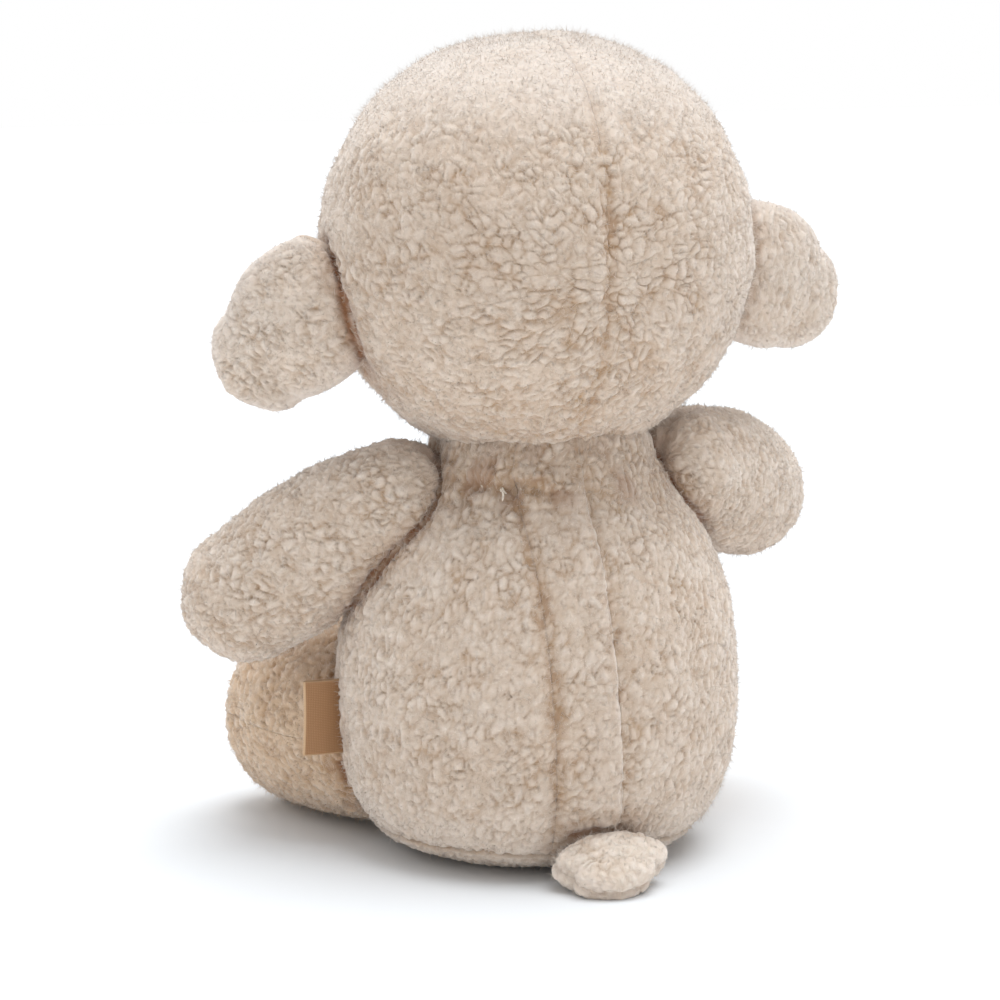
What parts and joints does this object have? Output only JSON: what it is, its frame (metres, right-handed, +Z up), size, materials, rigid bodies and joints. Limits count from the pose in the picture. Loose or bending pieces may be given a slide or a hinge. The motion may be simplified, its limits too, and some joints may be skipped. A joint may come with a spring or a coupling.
{
  "type": "plush sheep",
  "caption": "Sitting stuffed sheep in curly fleece, with a flexing head, ears, arms, legs and tail, and a weighted seat that it rests on.",
  "frame": {"origin": "middle of the flat seat, on the surface that the sheep sits on", "axes": "+Z up, the sheep looks along -Y, +X to its left"},
  "size_m": [0.2032, 0.1511, 0.2429],
  "materials": {
    "fleece": "curly knitted fleece",
    "smooth_plush": "short smooth pile",
    "wadding": "loose polyester fibre",
    "pellets": "pellets in a woven bag",
    "ribbon": "woven ribbon",
    "dark_thread": "satin stitch",
    "pale_thread": "twisted sewing thread"
  },
  "bodies": {
    "torso": {"torso_back_left_panel": "fleece", "torso_back_strip": "fleece", "torso_back_right_panel": "fleece", "torso_front_panel": "fleece", "torso_base_panel": "fleece", "torso_filling": "wadding", "pellet_bag": "pellets", "side_label": "ribbon", "closing_thread": "pale_thread"},
    "head": {"head_left_panel": "fleece", "head_right_panel": "fleece", "face_panel": "smooth_plush", "head_filling": "wadding", "left_eye": "dark_thread", "right_eye": "dark_thread", "nose": "dark_thread", "mouth_stitching": "dark_thread"},
    "left_ear": {"left_ear_back": "fleece", "left_ear_lining": "smooth_plush", "left_ear_wadding": "wadding"},
    "right_ear": {"right_ear_back": "fleece", "right_ear_lining": "smooth_plush", "right_ear_wadding": "wadding"},
    "left_arm": {"left_arm_back_panel": "fleece", "left_arm_front_panel": "fleece", "left_arm_filling": "wadding"},
    "right_arm": {"right_arm_back_panel": "fleece", "right_arm_front_panel": "fleece", "right_arm_filling": "wadding"},
    "left_leg": {"left_leg_upper_panel": "fleece", "left_leg_lower_panel": "fleece", "left_sole": "smooth_plush", "left_leg_filling": "wadding"},
    "right_leg": {"right_leg_upper_panel": "fleece", "right_leg_lower_panel": "fleece", "right_sole": "smooth_plush", "right_leg_filling": "wadding"},
    "tail": {"tail_upper": "fleece", "tail_lower": "fleece", "tail_wadding": "wadding"}
  },
  "joints": [
    {"name": "neck_nod", "type": "hinge", "parent": "torso", "child": "head", "pos_m": [0, 0, 0.11293], "axis": [1, 0, 0], "range_deg": [-12, 12], "stiffness_Nm_per_rad": 1.2},
    {"name": "left_ear_flap", "type": "hinge", "parent": "head", "child": "left_ear", "pos_m": [0.063, -0.003, 0.17043], "axis": [0.6133, -0.3261, 0.7193], "range_deg": [-18, 18], "stiffness_Nm_per_rad": 0.06},
    {"name": "right_ear_flap", "type": "hinge", "parent": "head", "child": "right_ear", "pos_m": [-0.061, -0.003, 0.17493], "axis": [0.4254, 0.1061, -0.8988], "range_deg": [-18, 18], "stiffness_Nm_per_rad": 0.06},
    {"name": "left_shoulder", "type": "hinge", "parent": "torso", "child": "left_arm", "pos_m": [0.045, -0.002, 0.107], "axis": [-0.6157, -0.788, 0], "range_deg": [-8, 40], "stiffness_Nm_per_rad": 0.3},
    {"name": "right_shoulder", "type": "hinge", "parent": "torso", "child": "right_arm", "pos_m": [-0.045, -0.002, 0.1115], "axis": [-0.7314, 0.682, 0], "range_deg": [-27, 21], "stiffness_Nm_per_rad": 0.3},
    {"name": "left_hip", "type": "hinge", "parent": "torso", "child": "left_leg", "pos_m": [0.038, -0.029, 0.0305], "axis": [-0.9511, -0.309, 0], "range_deg": [0, 28], "stiffness_Nm_per_rad": 0.4},
    {"name": "right_hip", "type": "hinge", "parent": "torso", "child": "right_leg", "pos_m": [-0.038, -0.029, 0.0305], "axis": [-0.9511, 0.309, 0], "range_deg": [0, 28], "stiffness_Nm_per_rad": 0.4},
    {"name": "tail_root", "type": "hinge", "parent": "torso", "child": "tail", "pos_m": [-0.0025, 0.0475, 0.01148], "axis": [0.9994, -0.0349, 0], "range_deg": [0, 35], "stiffness_Nm_per_rad": 0.03}
  ]
}
